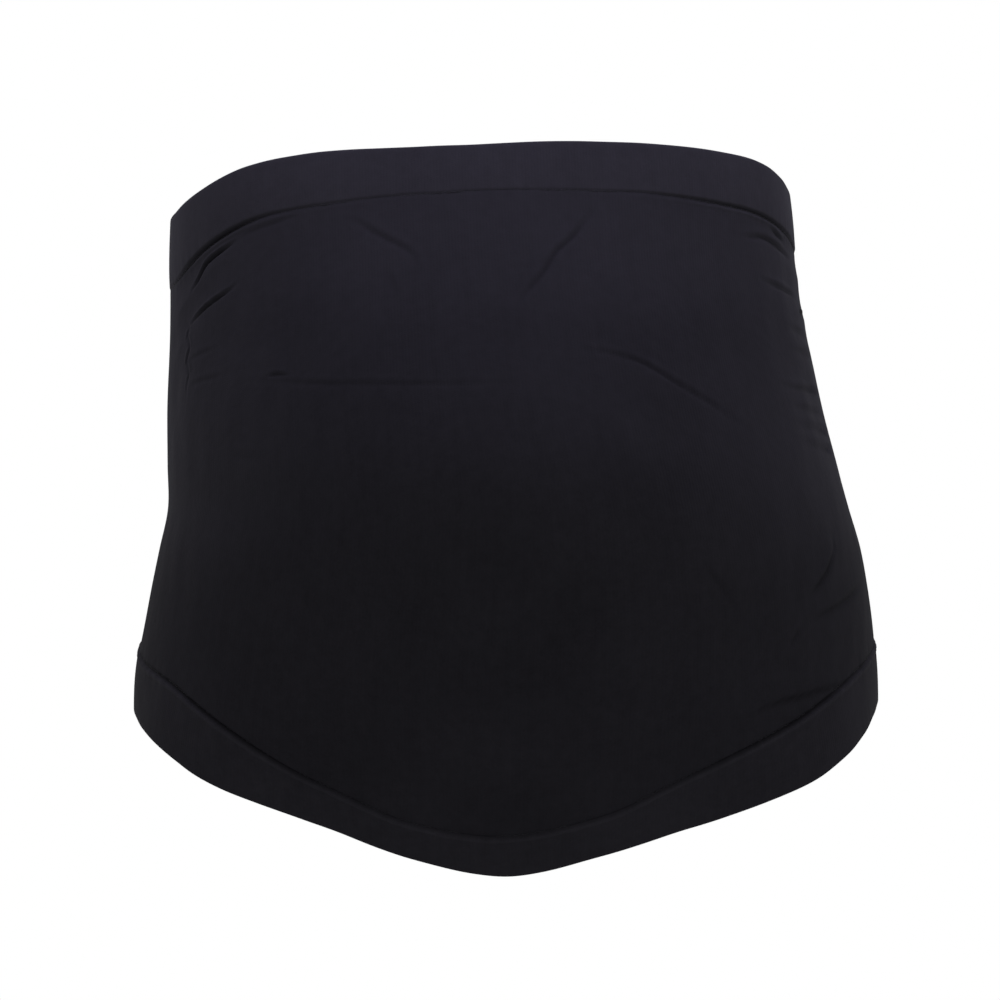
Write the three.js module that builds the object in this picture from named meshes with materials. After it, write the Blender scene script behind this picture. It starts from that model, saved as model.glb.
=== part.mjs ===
// A seamless knitted maternity support belt in its worn shape, in millimetres.
// +Z is up and the belly faces -Y. The origin is on the body's axis at the waist, inside the tube.
// The belt is one stretchy tube: a single knitted wall, with a turned hem of two layers at each end.
import * as THREE from "three";

// Overall sizes
const beltHeight = 295; // from the lowest point of the lower edge to the highest of the upper edge
const hipWidth = 312; // across the hips, at the lower hem
const bellyReach = 190; // from the body's axis to the front of the belly
const rearReach = 112; // from the body's axis to the rear, over the hips

// The cloth and its hems
const clothThickness = 1.2; // one layer of the stretched knit
const hemThickness = 2.4; // two layers, folded over at the free edge
const hemHeight = 23; // along the cloth, from the free edge to the stitched seam, at the front
const hemStep = 0.5; // how far a hem's outer face stands proud of the wall
const hemBevel = 1.4; // the stitches pull the hem's outer face in over this length
const seamGap = 0.3; // clearance between a hem and the wall

// The pull folds at the flanks
const foldDepth = 2.4; // of the deepest fold, into the cloth
const foldWidth = 8.5; // from the middle of a fold to where it fades out

// How finely the cloth is divided
const columnCount = 78; // round the body
const rowCount = 26; // from seam to seam
const flankCrowding = 0.3; // 0 spaces the columns evenly, and more crowds them at the flanks
const rearSpreading = 0.3; // 0 spaces the columns evenly, and more spreads them at the rear
const foldTurns = 4; // steps of the half round at a hem's free edge

// The body's outline at each height. rise is a share of beltHeight, from the origin. lean shifts the section
// towards +X and flank is its half width, both as shares of half of hipWidth. front is a share of bellyReach
// and rear of rearReach. The last three say how far out the section comes in between, and 1 is an ellipse.
const sections = [
  { rise: -0.52, lean: 0.016, flank: 1.004, front: 0.56, rear: 1.0, belly: 0.94, hip: 1.09, haunch: 1.02 },
  { rise: -0.4, lean: 0.016, flank: 1.002, front: 0.738, rear: 0.985, belly: 0.96, hip: 1.06, haunch: 1.02 },
  { rise: -0.3, lean: 0.016, flank: 0.998, front: 0.862, rear: 0.955, belly: 0.985, hip: 1.03, haunch: 1.02 },
  { rise: -0.22, lean: 0.018, flank: 0.99, front: 0.937, rear: 0.9, belly: 0.995, hip: 1.005, haunch: 1.02 },
  { rise: -0.14, lean: 0.024, flank: 0.969, front: 0.984, rear: 0.83, belly: 1.0, hip: 1.0, haunch: 1.03 },
  { rise: -0.06, lean: 0.026, flank: 0.941, front: 1.0, rear: 0.765, belly: 1.0, hip: 1.0, haunch: 1.03 },
  { rise: 0.0, lean: 0.022, flank: 0.913, front: 0.99, rear: 0.73, belly: 1.0, hip: 1.0, haunch: 1.04 },
  { rise: 0.06, lean: 0.007, flank: 0.899, front: 0.958, rear: 0.71, belly: 1.0, hip: 1.0, haunch: 1.04 },
  { rise: 0.14, lean: -0.013, flank: 0.88, front: 0.884, rear: 0.705, belly: 1.0, hip: 1.0, haunch: 1.04 },
  { rise: 0.24, lean: -0.03, flank: 0.858, front: 0.768, rear: 0.725, belly: 1.0, hip: 1.0, haunch: 1.03 },
  { rise: 0.34, lean: -0.044, flank: 0.841, front: 0.655, rear: 0.76, belly: 1.0, hip: 1.01, haunch: 1.03 },
  { rise: 0.44, lean: -0.053, flank: 0.83, front: 0.56, rear: 0.795, belly: 1.01, hip: 1.03, haunch: 1.02 },
  { rise: 0.52, lean: -0.058, flank: 0.818, front: 0.498, rear: 0.82, belly: 1.02, hip: 1.04, haunch: 1.02 },
];

// Where round the body each of those three is felt most, as an angle from the front or from the rear's middle
// on either side, and how far from there it fades out, all in degrees.
const swells = [
  { column: "belly", angle: 26, spread: 26 },
  { column: "hip", angle: 52, spread: 32 },
  { column: "haunch", angle: 135, spread: 45 },
];

// The belt's two edges round the body, as shares of beltHeight from the origin. An angle is 0 at the front
// and grows towards +X. The upper edge is a little lower on the -X side, and the lower edge dips under the
// belly. upperHem and lowerHem are the hems' widths as shares of hemHeight. They are widest at the flanks,
// where the cloth is stretched least.
const edges = [
  { angle: -180, upper: 0.381, upperHem: 0.95, lower: -0.238, lowerHem: 1.0 },
  { angle: -150, upper: 0.381, upperHem: 1.0, lower: -0.24, lowerHem: 1.0 },
  { angle: -120, upper: 0.388, upperHem: 1.1, lower: -0.249, lowerHem: 1.05 },
  { angle: -105, upper: 0.396, upperHem: 1.2, lower: -0.259, lowerHem: 1.08 },
  { angle: -90, upper: 0.409, upperHem: 1.3, lower: -0.277, lowerHem: 1.1 },
  { angle: -75, upper: 0.419, upperHem: 1.3, lower: -0.302, lowerHem: 1.12 },
  { angle: -60, upper: 0.4425, upperHem: 1.12, lower: -0.3325, lowerHem: 1.22 },
  { angle: -45, upper: 0.473, upperHem: 1.0, lower: -0.3815, lowerHem: 1.18 },
  { angle: -30, upper: 0.489, upperHem: 0.99, lower: -0.4295, lowerHem: 1.02 },
  { angle: -15, upper: 0.494, upperHem: 0.92, lower: -0.4755, lowerHem: 0.98 },
  { angle: 0, upper: 0.498, upperHem: 0.9, lower: -0.5, lowerHem: 1.02 },
  { angle: 15, upper: 0.503, upperHem: 0.92, lower: -0.4715, lowerHem: 1.0 },
  { angle: 30, upper: 0.502, upperHem: 0.96, lower: -0.433, lowerHem: 1.16 },
  { angle: 45, upper: 0.496, upperHem: 1.0, lower: -0.386, lowerHem: 1.26 },
  { angle: 60, upper: 0.484, upperHem: 1.0, lower: -0.336, lowerHem: 1.24 },
  { angle: 75, upper: 0.464, upperHem: 1.0, lower: -0.294, lowerHem: 1.12 },
  { angle: 90, upper: 0.443, upperHem: 1.0, lower: -0.27, lowerHem: 1.1 },
  { angle: 105, upper: 0.428, upperHem: 1.0, lower: -0.256, lowerHem: 1.08 },
  { angle: 120, upper: 0.415, upperHem: 1.0, lower: -0.248, lowerHem: 1.05 },
  { angle: 150, upper: 0.393, upperHem: 1.0, lower: -0.24, lowerHem: 1.0 },
  { angle: 180, upper: 0.381, upperHem: 0.95, lower: -0.238, lowerHem: 1.0 },
];

// The pull folds, as straight valleys that start at a flank and fade out towards the belly. An angle is in
// degrees, a rise is a share of beltHeight and depth is a share of foldDepth.
const folds = [
  { fromAngle: -72, fromRise: 0.3, toAngle: -40, toRise: 0.41, depth: 1.0 },
  { fromAngle: -74, fromRise: 0.24, toAngle: -48, toRise: 0.34, depth: 0.8 },
  { fromAngle: -74, fromRise: 0.13, toAngle: -70, toRise: 0.25, depth: 0.4 },
  { fromAngle: 88, fromRise: 0.345, toAngle: 54, toRise: 0.39, depth: 0.8 },
  { fromAngle: 94, fromRise: 0.285, toAngle: 60, toRise: 0.325, depth: 0.9 },
  { fromAngle: 96, fromRise: 0.24, toAngle: 68, toRise: 0.25, depth: 0.5 },
  { fromAngle: 80, fromRise: 0.13, toAngle: 64, toRise: 0.2, depth: 0.4 },
  { fromAngle: 76, fromRise: -0.06, toAngle: 50, toRise: -0.15, depth: 0.5 },
];

// A smooth curve through a table's rows: give it a place and it returns the named columns there.
function tableCurve(rows, place, columns, ending) {
  const places = rows.map((row) => row[place]);
  const values = rows.flatMap((row) => columns.map((column) => row[column]));
  const curve = new THREE.CubicInterpolant(places, values, columns.length);
  curve.settings = { endingStart: ending, endingEnd: ending };
  return (at) => {
    const found = curve.evaluate(at);
    return Object.fromEntries(columns.map((column, i) => [column, found[i]]));
  };
}

const sectionAt = tableCurve(
  sections,
  "rise",
  ["lean", "flank", "front", "rear", "belly", "hip", "haunch"],
  THREE.ZeroCurvatureEnding,
);
const edgeAt = tableCurve(edges, "angle", ["upper", "upperHem", "lower", "lowerHem"], THREE.WrapAroundEnding);

// The point of the smooth body under the cloth's outer face, at an angle in degrees and a height.
function bodyPoint(angle, height) {
  const section = sectionAt(height / beltHeight);
  const turn = THREE.MathUtils.degToRad(angle);
  const halfWidth = hipWidth / 2;
  const reach = Math.cos(turn) > 0 ? section.front * bellyReach : section.rear * rearReach;
  const swell = swells.reduce((sum, { column, angle: middle, spread }) => {
    const off = Math.min(Math.abs(Math.abs(angle) - middle) / spread, 1);
    return sum + (section[column] - 1) * Math.cos((off * Math.PI) / 2) ** 2;
  }, 1);
  return new THREE.Vector3(
    halfWidth * (section.lean + section.flank * swell * Math.sin(turn)),
    -reach * swell * Math.cos(turn),
    height,
  );
}

// One line up the cloth at a fixed angle, from the lower edge to the upper edge.
class ColumnLine extends THREE.Curve {
  constructor(angle) {
    super();
    this.angle = angle;
    this.top = edgeAt(angle).upper * beltHeight;
    this.bottom = edgeAt(angle).lower * beltHeight;
  }

  getPoint(share) {
    return bodyPoint(this.angle, THREE.MathUtils.lerp(this.bottom, this.top, share));
  }

  // The point that far along the line from the lower edge, pushed out along the cloth's outward normal.
  pointAt(distance, outwards) {
    const share = THREE.MathUtils.clamp(distance / this.getLength(), 0, 1);
    const point = this.getPointAt(share);
    const heightHere = () => point.z;
    const normal = tangentRound(this.angle, heightHere).cross(this.getTangentAt(share)).normalize();
    return point.addScaledVector(normal, outwards);
  }

  // How far up or down the line the hem at an edge ("upper" or "lower") reaches, for each millimetre that it
  // measures square to that edge at the front.
  hemStretch(edge) {
    const edgeHeight = (angle) => edgeAt(angle)[edge] * beltHeight;
    const along = tangentRound(this.angle, edgeHeight);
    const across = this.getTangentAt(edge === "upper" ? 1 : 0);
    return edgeAt(this.angle)[`${edge}Hem`] / along.cross(across).length();
  }
}

// The direction round the body, towards +X at the front, of a line that runs over it at the heights given.
function tangentRound(angle, heightAt) {
  const halfStep = 0.5; // degrees
  const after = bodyPoint(angle + halfStep, heightAt(angle + halfStep));
  return after.sub(bodyPoint(angle - halfStep, heightAt(angle - halfStep))).normalize();
}

// The columns go once round the body, closer together at the flanks, where the folds are.
function makeColumns() {
  return Array.from({ length: columnCount }, (_, i) => {
    const even = (2 * Math.PI * i) / columnCount - Math.PI;
    const shift = (flankCrowding / 2) * Math.sin(2 * even) - rearSpreading * Math.sin(even);
    return new ColumnLine(THREE.MathUtils.radToDeg(even + shift));
  });
}

const foldLines = folds.map((fold) => ({
  valley: new THREE.Line3(
    bodyPoint(fold.fromAngle, fold.fromRise * beltHeight),
    bodyPoint(fold.toAngle, fold.toRise * beltHeight),
  ),
  depth: fold.depth * foldDepth,
}));

// How deep the folds pull the cloth in at a point of it.
function foldAt(point) {
  const nearest = new THREE.Vector3();
  return foldLines.reduce((deepest, { valley, depth }) => {
    const along = valley.closestPointToPointParameter(point, true);
    valley.at(along, nearest);
    const fade = Math.exp(-((nearest.distanceTo(point) / foldWidth) ** 2));
    return Math.max(deepest, depth * fade * Math.sin(Math.PI * THREE.MathUtils.lerp(0.15, 1, along)));
  }, 0);
}

// A closed ring from one closed loop of points for each column, all with as many points.
function ringGeometry(loops) {
  const perLoop = loops[0].length;
  const positions = loops.flat().flatMap((point) => point.toArray());
  const indices = [];
  for (let i = 0; i < loops.length; i++) {
    const next = (i + 1) % loops.length;
    for (let j = 0; j < perLoop; j++) {
      const after = (j + 1) % perLoop;
      const corners = [i * perLoop + j, next * perLoop + j, next * perLoop + after, i * perLoop + after];
      indices.push(corners[0], corners[1], corners[2], corners[0], corners[2], corners[3]);
    }
  }
  const geometry = new THREE.BufferGeometry();
  geometry.setAttribute("position", new THREE.Float32BufferAttribute(positions, 3));
  geometry.setIndex(indices);
  geometry.computeVertexNormals();
  return geometry;
}

// The single wall between the two seams: up its outer face and down its inner face.
function makeWall(columns) {
  const loops = columns.map((column) => {
    const start = (hemHeight + seamGap) * column.hemStretch("lower");
    const end = column.getLength() - (hemHeight + seamGap) * column.hemStretch("upper");
    const outer = [];
    const inner = [];
    for (let row = 0; row <= rowCount; row++) {
      const distance = THREE.MathUtils.lerp(start, end, row / rowCount);
      const fold = foldAt(column.pointAt(distance, 0));
      outer.push(column.pointAt(distance, -fold));
      inner.unshift(column.pointAt(distance, -fold - clothThickness));
    }
    return [...outer, ...inner];
  });
  return ringGeometry(loops);
}

// A hem's cross-section: out over its face from the seam, round the folded free edge and back inside.
// along is measured square to the free edge, and outwards from the body's outline.
function hemProfile() {
  const roundRadius = hemThickness / 2;
  const face = hemStep;
  const back = hemStep - hemThickness;
  const middle = (hemHeight + roundRadius) / 2;
  const profile = [
    { along: hemHeight, outwards: face - hemStep },
    { along: hemHeight - hemBevel, outwards: face },
    { along: middle, outwards: face },
  ];
  for (let step = 0; step <= foldTurns; step++) {
    const turn = (Math.PI * step) / foldTurns;
    profile.push({
      along: roundRadius * (1 - Math.sin(turn)),
      outwards: (face + back) / 2 + roundRadius * Math.cos(turn),
    });
  }
  profile.push({ along: middle, outwards: back }, { along: hemHeight, outwards: back });
  return profile;
}

function makeUpperHem(columns) {
  const loops = columns.map((column) => {
    const stretch = column.hemStretch("upper");
    const length = column.getLength();
    return hemProfile().map(({ along, outwards }) => column.pointAt(length - along * stretch, outwards));
  });
  return ringGeometry(loops);
}

// The lower hem's profile is turned round, because its free edge is below the seam.
function makeLowerHem(columns) {
  const loops = columns.map((column) => {
    const stretch = column.hemStretch("lower");
    return hemProfile().reverse().map(({ along, outwards }) => column.pointAt(along * stretch, outwards));
  });
  return ringGeometry(loops);
}

// Fine black knit with a slight violet cast. The doubled hems look a touch lighter than the wall.
const wallCloth = new THREE.MeshStandardMaterial({ color: 0x1d1c22, roughness: 0.85, metalness: 0 });
const hemCloth = new THREE.MeshStandardMaterial({ color: 0x232228, roughness: 0.8, metalness: 0 });

function named(name, geometry, material) {
  const mesh = new THREE.Mesh(geometry, material);
  mesh.name = name;
  return mesh;
}

const columns = makeColumns();
const belt = new THREE.Group();
belt.add(
  named("belly_tube", makeWall(columns), wallCloth),
  named("upper_hem", makeUpperHem(columns), hemCloth),
  named("lower_hem", makeLowerHem(columns), hemCloth),
);

export default belt;
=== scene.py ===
import math

import bpy
import numpy as np
from bpy.props import FloatProperty, FloatVectorProperty, IntProperty, PointerProperty
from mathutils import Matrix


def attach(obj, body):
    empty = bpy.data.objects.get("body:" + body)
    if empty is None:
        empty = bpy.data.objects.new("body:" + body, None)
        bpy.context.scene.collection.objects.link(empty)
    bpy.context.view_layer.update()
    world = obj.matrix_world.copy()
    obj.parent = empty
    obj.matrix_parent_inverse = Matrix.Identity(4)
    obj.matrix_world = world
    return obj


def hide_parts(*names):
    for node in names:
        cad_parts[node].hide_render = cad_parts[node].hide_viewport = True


# A seamless knitted maternity support belt in its worn shape. +Z is up and the belly faces -Y.
# The cloth is laid on the same body form as the belt's solids, as lines up the body at fixed angles.

bl_info = {
    "name": "Maternity Support Belt",
    "version": (1, 0, 0),
    "blender": (4, 5, 0),
    "location": "View3D > Sidebar > Support Belt",
    "description": "Builds a worn, pull-on knitted maternity support belt and a plain studio for it",
    "category": "Add Mesh",
}

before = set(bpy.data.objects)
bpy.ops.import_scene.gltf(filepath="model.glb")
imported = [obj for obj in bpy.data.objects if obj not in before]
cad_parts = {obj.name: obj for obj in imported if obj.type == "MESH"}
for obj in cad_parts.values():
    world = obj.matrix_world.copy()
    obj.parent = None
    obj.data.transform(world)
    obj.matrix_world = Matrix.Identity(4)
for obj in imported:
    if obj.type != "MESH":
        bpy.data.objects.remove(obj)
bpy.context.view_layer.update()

MM = 0.001

# The body's outline at each height. rise is a share of the belt's height, from the origin. lean shifts the
# section towards +X and flank is its half width, both as shares of half the hip width. front is a share of
# the belly's reach and rear of the rear's. The last three say how far out it comes in between.
SECTION_COLUMNS = ("rise", "lean", "flank", "front", "rear", "belly", "hip", "haunch")
SECTIONS = (
    (-0.52, 0.016, 1.004, 0.56, 1.0, 0.94, 1.09, 1.02),
    (-0.4, 0.016, 1.002, 0.738, 0.985, 0.96, 1.06, 1.02),
    (-0.3, 0.016, 0.998, 0.862, 0.955, 0.985, 1.03, 1.02),
    (-0.22, 0.018, 0.99, 0.937, 0.9, 0.995, 1.005, 1.02),
    (-0.14, 0.024, 0.969, 0.984, 0.83, 1.0, 1.0, 1.03),
    (-0.06, 0.026, 0.941, 1.0, 0.765, 1.0, 1.0, 1.03),
    (0.0, 0.022, 0.913, 0.99, 0.73, 1.0, 1.0, 1.04),
    (0.06, 0.007, 0.899, 0.958, 0.71, 1.0, 1.0, 1.04),
    (0.14, -0.013, 0.88, 0.884, 0.705, 1.0, 1.0, 1.04),
    (0.24, -0.03, 0.858, 0.768, 0.725, 1.0, 1.0, 1.03),
    (0.34, -0.044, 0.841, 0.655, 0.76, 1.0, 1.01, 1.03),
    (0.44, -0.053, 0.83, 0.56, 0.795, 1.01, 1.03, 1.02),
    (0.52, -0.058, 0.818, 0.498, 0.82, 1.02, 1.04, 1.02),
)

# Where round the body each of those three is felt most, in degrees from the front, and how far it reaches.
SWELLS = (("belly", 26, 26), ("hip", 52, 32), ("haunch", 135, 45))

# The belt's two edges round the body, as shares of its height from the origin, and how wide the hems are
# there, as shares of their own height. An angle is 0 at the front and grows towards +X. The hems' widths
# are set more finely here than in the solids, and are within 2 mm of theirs.
EDGE_COLUMNS = ("angle", "upper", "upper_hem", "lower", "lower_hem")
EDGES = (
    (-180, 0.381, 0.95, -0.238, 1.0),
    (-150, 0.381, 1.0, -0.24, 1.0),
    (-120, 0.388, 1.1, -0.249, 1.05),
    (-105, 0.396, 1.2, -0.259, 1.08),
    (-90, 0.409, 1.3, -0.277, 1.1),
    (-75, 0.419, 1.3, -0.302, 1.12),
    (-60, 0.4425, 1.12, -0.3325, 1.22),
    (-45, 0.473, 1.06, -0.3815, 1.22),
    (-30, 0.489, 1.04, -0.4295, 0.96),
    (-15, 0.494, 0.97, -0.4755, 0.9),
    (0, 0.498, 0.94, -0.5, 1.03),
    (15, 0.503, 0.97, -0.4715, 1.0),
    (30, 0.502, 0.97, -0.433, 1.24),
    (45, 0.496, 1.0, -0.386, 1.31),
    (60, 0.484, 1.0, -0.336, 1.24),
    (75, 0.464, 1.0, -0.294, 1.12),
    (90, 0.443, 1.0, -0.27, 1.1),
    (105, 0.428, 1.0, -0.256, 1.08),
    (120, 0.415, 1.0, -0.248, 1.05),
    (150, 0.393, 1.0, -0.24, 1.0),
    (180, 0.381, 0.95, -0.238, 1.0),
)

# How hard the stitches pull each seam in, round the body. The seams show most at the flanks.
SEAM_COLUMNS = ("angle", "upper", "lower")
SEAM_PULL = (
    (-180, 0.4, 0.5),
    (-95, 0.2, 0.4),
    (-76, 0.1, 0.6),
    (-69, 0.5, 0.9),
    (-62, 1.7, 1.2),
    (-50, 1.7, 1.5),
    (-43, 0.7, 1.5),
    (-34, 0.3, 1.2),
    (-22, 0.15, 0.7),
    (0, 0.05, 0.5),
    (22, 0.1, 0.7),
    (34, 0.35, 1.2),
    (46, 1.0, 1.5),
    (60, 1.5, 1.2),
    (68, 1.4, 0.8),
    (76, 0.5, 0.5),
    (84, 0.15, 0.4),
    (95, 0.2, 0.4),
    (180, 0.4, 0.5),
)

# The broad pull folds at the flanks, from one (angle, rise) to another, with a share of the fold depth.
PULL_FOLDS = (
    ((-72, 0.3), (-40, 0.41), 1.0),
    ((-74, 0.24), (-48, 0.34), 0.8),
    ((-74, 0.13), (-70, 0.25), 0.4),
    ((88, 0.345), (54, 0.39), 0.8),
    ((94, 0.285), (60, 0.325), 0.9),
    ((96, 0.24), (68, 0.25), 0.5),
    ((80, 0.13), (64, 0.2), 0.4),
    ((76, -0.06), (50, -0.15), 0.5),
)

# The finer creases: depth and width in millimetres, lip, and a path of (angle, rise). lip is how high the
# cloth stands beside the crease, as a share of its depth.
CREASES = (
    # left flank, fanning out from under the upper hem
    (2.2, 0.75, 0.25, (
        (-67, 0.294), (-65.5, 0.304), (-62.6, 0.318), (-59.2, 0.339), (-55, 0.352), (-51, 0.363),
        (-47.5, 0.372)
    )),
    (0.3, 1.2, 0.4, ((-50, 0.367), (-46, 0.377), (-40, 0.389), (-33, 0.401))),
    (1.5, 0.75, 0.35, (
        (-67.5, 0.25), (-64, 0.264), (-60, 0.277), (-56.8, 0.286), (-52.2, 0.298), (-48, 0.312)
    )),
    (0.4, 1.1, 0.6, (
        (-70.5, 0.262), (-67, 0.252), (-67.6, 0.241), (-66.2, 0.224), (-67.4, 0.205), (-66, 0.187),
        (-66.8, 0.168), (-66.2, 0.14)
    )),
    (0.25, 1.1, 0.5, ((-67, 0.203), (-61, 0.213), (-54, 0.222))),
    (0.25, 1.1, 0.5, ((-66, 0.168), (-60, 0.176), (-52, 0.182))),
    (0.25, 1.2, 0.5, ((-53, 0.077), (-47, 0.071), (-41, 0.069))),
    # right flank, under the upper hem and down to the waist
    (0.8, 0.75, 0.5, ((63.5, 0.391), (66.3, 0.387), (69.8, 0.379), (74, 0.371))),
    (0.95, 1.0, 0.4, ((50, 0.373), (55, 0.376), (61.2, 0.376), (66.5, 0.368), (72, 0.358), (80, 0.346))),
    (0.8, 1.0, 0.4, ((56, 0.319), (61.8, 0.313), (67, 0.307), (72, 0.302), (80, 0.296))),
    (1.6, 0.75, 0.2, ((77.5, 0.277), (81, 0.2757), (84, 0.2745), (88, 0.2715))),
    (0.4, 1.8, 0.6, ((64, 0.25), (71, 0.248), (78.8, 0.242), (88, 0.236))),
    (0.4, 1.8, 0.6, ((64, 0.219), (71, 0.217), (78.8, 0.214), (88, 0.208))),
    (0.45, 1.3, 0.6, ((56, 0.17), (66, 0.166), (77, 0.163), (86, 0.16))),
    (0.4, 1.6, 0.6, ((60, 0.139), (70, 0.136), (82, 0.133))),
    (0.4, 1.5, 0.6, ((57, 0.118), (66, 0.113), (74.8, 0.108), (86, 0.1))),
    (0.4, 1.6, 0.6, ((58, 0.093), (73, 0.082), (84, 0.074))),
    # right hip, above the lower hem
    (1.0, 1.3, 0.4, (
        (65, -0.026), (64.5, -0.036), (63.7, -0.055), (60.4, -0.081), (57.2, -0.1), (51, -0.128)
    )),
    (0.8, 1.3, 0.4, (
        (78, -0.1), (74, -0.107), (70, -0.115), (66.2, -0.124), (61.8, -0.134), (54.8, -0.147),
        (48, -0.16)
    )),
    (0.5, 1.3, 0.4, ((51, -0.158), (49.5, -0.166), (48.0, -0.178), (46, -0.19))),
    (1.0, 1.2, 0.4, (
        (33, -0.305), (36, -0.29), (39.4, -0.272), (42.0, -0.266), (45.2, -0.259), (49.5, -0.253),
        (54.2, -0.247), (64, -0.238)
    )),
    # faint lines over the top of the belly
    (0.5, 1.1, 0.3, (
        (-26.8, 0.397), (-22.8, 0.392), (-19.8, 0.378), (-16.5, 0.364), (-12.8, 0.347), (-11, 0.324),
        (-9.5, 0.312)
    )),
    (0.3, 1.2, 0.3, ((-16.8, 0.324), (-16, 0.302), (-15.2, 0.281))),
    (0.6, 1.1, 0.3, (
        (24.2, 0.429), (20.8, 0.41), (16.5, 0.371), (13, 0.347), (10.8, 0.322), (7.5, 0.293),
        (5.2, 0.271), (3.5, 0.246)
    )),
    (0.25, 1.2, 0.4, ((-52, 0.176), (-32, 0.168), (-15.5, 0.166), (-2, 0.166), (12, 0.168))),
    (0.55, 1.3, 0.3, (
        (11.8, 0.212), (18.8, 0.21), (25.8, 0.197), (32.2, 0.169), (39, 0.141), (45.5, 0.107),
        (48.5, 0.093)
    )),
    (0.45, 1.5, 0.3, ((29.2, -0.055), (32.2, -0.088), (34.2, -0.108), (37, -0.145))),
    (0.7, 0.7, 0.3, ((-42, 0.179), (-40.5, 0.18), (-39.0, 0.181), (-37.5, 0.18), (-36, 0.179))),
)

# How finely the cloth is divided: columns round the belt, and rows up the wall's outer and inner faces.
COLUMNS = 550
OUTER_ROWS = 169
INNER_ROWS = 10
CROWDING_STEPS = 3600  # that crowding is summed over

# How closely the columns stand at each angle, and the rows at each share of the way up the wall. They crowd
# together where the cloth is creased or sewn.
COLUMN_CROWDING = (
    (-180, 0.5), (-115, 0.5), (-80, 2.6), (-72, 3.4), (-46, 3.4), (-38, 2.1), (95, 2.1), (115, 0.5),
    (180, 0.5)
)
ROW_CROWDING = (
    (0, 6.0), (0.013, 6.0), (0.022, 0.75), (0.55, 0.75), (0.68, 2.0), (0.97, 2.0), (0.986, 6.0), (1, 6.0)
)
# The rows over the right hip, where there are creases low down, and how much of that holds at each angle.
HIP_ROW_CROWDING = (
    (0, 6.0), (0.013, 6.0), (0.022, 1.15), (0.4, 1.1), (0.48, 0.8), (0.54, 0.8), (0.6, 1.4), (0.97, 1.4),
    (0.986, 6.0), (1, 6.0)
)
HIP_ROWS_REACH = ((24, 0), (34, 1), (72, 1), (84, 0))

# A hem's section.
HEM_FACE_ROWS = 24  # from the seam to the fold
HEM_TURN_STEPS = 8  # of the half round at the free edge
HEM_BEVEL = 0.5 * MM  # how far from the seam the hem's face drops to it
HEM_PUFF = 0.2 * MM  # how far the doubled cloth swells between the seam and the fold
HEM_SOFTNESS = 0.4  # the share of its step that a hem keeps at its seam until the seam is pulled
EASY_PULL = 0.5  # a hem slopes gently down to a seam that is pulled less than this
HEM_EASE = 0.25 * MM  # how far it slopes down to a seam that isn't pulled at all
HEM_EASE_WIDTH = 5.0 * MM
HEM_EASE_SHARE = 0.5  # how much of its sharp drop at such a seam goes into that slope

# The seams. Depths and lips are those at a pull of 1, and grow with it.
SEAM_GAP = 0.3 * MM  # from a hem to the wall's seam line
TUCK = 1.0 * MM  # how far the wall goes on past its seam line, into the hem
GROOVE_DEPTH = 0.6 * MM
GROOVE_WIDTH = 0.55 * MM
SEAM_LIP = 0.2 * MM  # how far the cloth below a seam stands up beside it
HEM_EDGE_LIP = 0.35 * MM  # how far the lower hem stands up along its seam at any pull
LIP_PLACE = 1.8 * MM  # from the seam
LIP_WIDTH = 0.8 * MM
PUCKER_SEED = 5
PUCKER_COUNT = 5  # waves that add up to the puckers beside a seam
PUCKER_PITCHES = (5, 11)  # the shortest and the longest of them, in millimetres
PUCKER_HEIGHT = 0.03 * MM
PUCKER_REACH = 5 * MM
STITCH_OVERLAP = 1.15  # a stitch's length, as a share of the pitch
STITCH_SLANT = 0.3  # how far a stitch leans across the seam, as a share of its run along it
SLANT_SPREAD = (0.75, 1.25)  # the least and the most that a stitch's slant is multiplied by
STITCH_SEED = 3
STITCH_SUNK = 0.25  # how deep the thread lies in the cloth, as a share of its width

# The folds, creases and ripples.
MEAN_RADIUS = 0.14  # of the body, in metres, to turn an angle into a way round it
FOLD_SHARE = 0.45  # of the solids' fold depth, because the creases take up the rest
FOLD_START = 0.15  # how far into its swell a pull fold starts
CREASE_FADE = 0.4  # the share of its length over which each end of a crease fades out
CREASE_LIP_PLACE = 1.7  # from a crease's middle to its lip, in crease widths
CREASE_LIP_WIDTH = 1.1  # in crease widths
RIPPLE_SEED = 11
RIPPLE_COUNT = 14
RIPPLE_LENGTHS = (0.016, 0.05)  # the shortest and the longest, in metres
RIPPLE_HEIGHT = 0.035 * MM
RIPPLE_DIRECTIONS = (1.0, 1.0, 0.45)  # how much of each axis there is in the way that a ripple runs

# A crease this deep or deeper, in millimetres, gets the full painted shade. A seam pulled this hard does
# too.
TIGHT_CREASE = 2.2
TIGHT_PULL = 2.5
PAINTED_SHADE_DARKNESS = 0.85  # painted shade: how much darker the colour is made where the cloth is fully shaded
# Painted highlight: cloth that stands up beside a seam is made lighter than the rest, by these shares of
# that darkening.
PAINTED_LIP_HIGHLIGHT = 0.15
PAINTED_HEM_EDGE_HIGHLIGHT = 0.3

# The knit. A noise's scale is on the belt's own coordinates in metres, so a bigger one is finer.
CLOUD_SCALE = 22.0
MOTTLE_SCALE = 220.0
FIBRE_SCALE = 900.0
THREAD_FIBRE_SCALE = 2500.0
STREAK_SPREAD = (0.45, 0.02, 1.0)  # how a streak's noise is stretched over the ribs and rows
LOOP_RISE = 0.45  # how far a loop's arch rises between two ribs, in rows
BASE_TONE = 0.34  # with the patterns' means on top, the tone is about 1
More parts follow.
